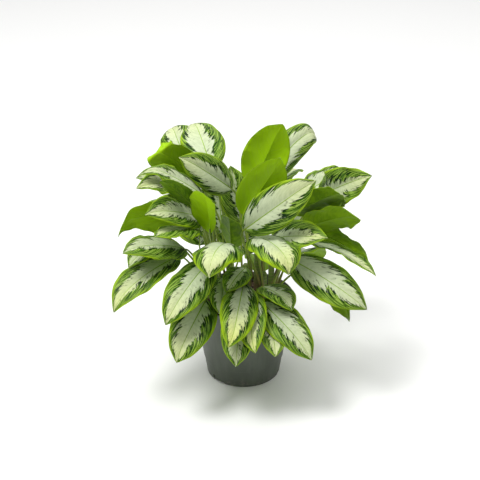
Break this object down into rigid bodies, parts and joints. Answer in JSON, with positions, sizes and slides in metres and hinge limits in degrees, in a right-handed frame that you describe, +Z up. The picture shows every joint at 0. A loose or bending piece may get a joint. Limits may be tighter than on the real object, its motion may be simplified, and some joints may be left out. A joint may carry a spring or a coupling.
{
  "type": "potted foliage plant",
  "caption": "Leafy Chinese evergreen house plant with silver and green blades on short canes in an open tapered nursery pot",
  "frame": {"origin": "middle of the pot's underside", "axes": "+Z is up, -Y is the side of the plant that faces the viewer, +X is to the viewer's right"},
  "size_m": [0.6209, 0.59, 0.69],
  "materials": {
    "pot_plastic": "satin",
    "potting_soil": "matte",
    "cane_bark": "satin",
    "leaf_blade": "satin"
  },
  "bodies": {
    "root": {"pot": "pot_plastic", "soil": "potting_soil", "cane_middle": "cane_bark", "cane_north": "cane_bark", "cane_northwest": "cane_bark", "cane_east": "cane_bark", "cane_southeast": "cane_bark", "cane_south": "cane_bark", "cane_southwest": "cane_bark", "cane_west": "cane_bark", "leaf_01": "leaf_blade", "leaf_02": "leaf_blade", "leaf_03": "leaf_blade", "leaf_04": "leaf_blade", "leaf_05": "leaf_blade", "leaf_06": "leaf_blade", "leaf_07": "leaf_blade", "leaf_08": "leaf_blade", "leaf_09": "leaf_blade", "leaf_10": "leaf_blade", "leaf_11": "leaf_blade", "leaf_12": "leaf_blade", "leaf_13": "leaf_blade", "leaf_14": "leaf_blade", "leaf_15": "leaf_blade", "leaf_16": "leaf_blade", "leaf_17": "leaf_blade", "leaf_18": "leaf_blade", "leaf_19": "leaf_blade", "leaf_20": "leaf_blade", "leaf_21": "leaf_blade", "leaf_22": "leaf_blade", "leaf_23": "leaf_blade", "leaf_24": "leaf_blade", "leaf_25": "leaf_blade", "leaf_26": "leaf_blade", "leaf_27": "leaf_blade", "leaf_28": "leaf_blade", "leaf_29": "leaf_blade", "leaf_30": "leaf_blade", "leaf_31": "leaf_blade", "leaf_32": "leaf_blade", "leaf_33": "leaf_blade", "leaf_34": "leaf_blade", "leaf_35": "leaf_blade", "leaf_36": "leaf_blade", "leaf_37": "leaf_blade", "leaf_38": "leaf_blade", "leaf_39": "leaf_blade", "leaf_40": "leaf_blade", "leaf_41": "leaf_blade", "leaf_42": "leaf_blade", "leaf_43": "leaf_blade", "leaf_44": "leaf_blade", "leaf_45": "leaf_blade", "leaf_46": "leaf_blade", "leaf_47": "leaf_blade", "leaf_48": "leaf_blade", "leaf_49": "leaf_blade", "leaf_50": "leaf_blade"}
  },
  "joints": []
}
